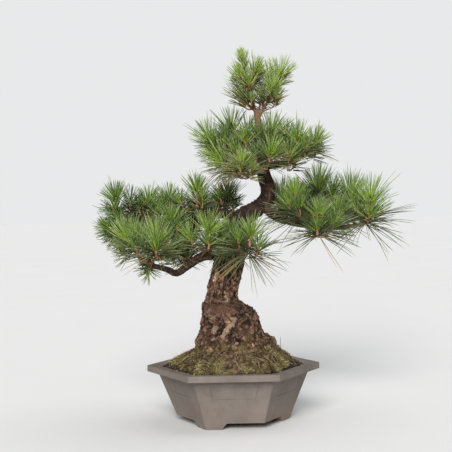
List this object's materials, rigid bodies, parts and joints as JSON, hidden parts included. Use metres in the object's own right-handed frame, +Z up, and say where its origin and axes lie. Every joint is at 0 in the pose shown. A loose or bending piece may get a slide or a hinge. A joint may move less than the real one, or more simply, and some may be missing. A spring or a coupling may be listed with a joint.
{
  "type": "potted pine bonsai",
  "caption": "Dwarf pine grown in a low six-sided clay pot: thick flared trunk, layered needle pads, mossed soil mound over drained floor.",
  "frame": {"origin": "bottom centre of the whole object's box, on the plane of the three feet; the pot's centre line is 40 mm towards -X and 1 mm towards +Y of it", "axes": "+Z up the tree; -Y is the front, where a flat wall of the pot faces; +X to the right as seen from the front"},
  "size_m": [0.6466, 0.379, 0.7614],
  "materials": {
    "clay": "matte",
    "soil": "matte",
    "moss": "matte",
    "bark": "matte",
    "needles": "satin",
    "screen": "matte"
  },
  "bodies": {
    "root": {"drain_screen_1": "screen", "drain_screen_2": "screen", "drain_screen_3": "screen", "moss": "moss", "needles_apex_01": "needles", "needles_apex_02": "needles", "needles_apex_03": "needles", "needles_apex_04": "needles", "needles_apex_05": "needles", "needles_apex_06": "needles", "needles_apex_07": "needles", "needles_crown_01": "needles", "needles_crown_02": "needles", "needles_crown_03": "needles", "needles_crown_04": "needles", "needles_crown_05": "needles", "needles_crown_06": "needles", "needles_crown_07": "needles", "needles_crown_08": "needles", "needles_crown_09": "needles", "needles_crown_10": "needles", "needles_crown_11": "needles", "needles_crown_12": "needles", "needles_crown_13": "needles", "needles_front_01": "needles", "needles_front_02": "needles", "needles_left_01": "needles", "needles_left_02": "needles", "needles_left_03": "needles", "needles_left_04": "needles", "needles_left_05": "needles", "needles_left_06": "needles", "needles_left_07": "needles", "needles_left_08": "needles", "needles_left_09": "needles", "needles_left_10": "needles", "needles_left_11": "needles", "needles_left_12": "needles", "needles_left_13": "needles", "needles_left_14": "needles", "needles_left_15": "needles", "needles_right_01": "needles", "needles_right_02": "needles", "needles_right_03": "needles", "needles_right_04": "needles", "needles_right_05": "needles", "needles_right_06": "needles", "needles_right_07": "needles", "needles_right_08": "needles", "needles_right_09": "needles", "pot": "clay", "soil": "soil", "trunk": "bark"}
  },
  "joints": []
}
